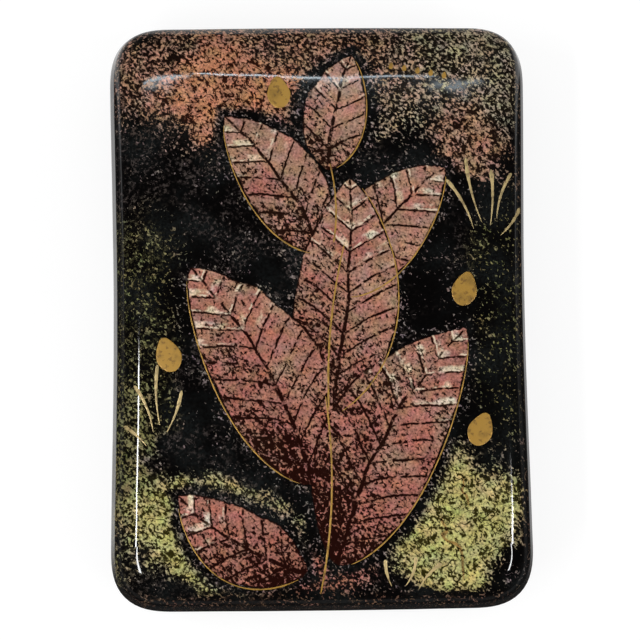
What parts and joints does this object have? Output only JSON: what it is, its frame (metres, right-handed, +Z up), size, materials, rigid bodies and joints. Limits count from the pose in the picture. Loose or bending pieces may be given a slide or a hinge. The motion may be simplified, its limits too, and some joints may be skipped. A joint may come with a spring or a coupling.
{
  "type": "ceramic cigarette box",
  "caption": "Low rectangular ceramic box with softly rounded corners and a crowned lift-off lid, which a flange hidden inside keeps in place.",
  "frame": {"origin": "middle of the footprint, on the surface the box stands on", "axes": "+X across the box, +Y along its length towards the top of the lid's picture, +Z up"},
  "size_m": [0.1268, 0.178, 0.0499],
  "materials": {
    "base_glaze": "gloss",
    "lid_glaze": "gloss",
    "gold_luster": "satin",
    "bare_clay": "matte"
  },
  "bodies": {
    "base": {"base": "base_glaze"},
    "lid": {"lid": "lid_glaze"}
  },
  "joints": [
    {"name": "lid_lift", "type": "slide", "parent": "base", "child": "lid", "axis": [0, 0, 1], "range_m": [0, 0.08]}
  ]
}
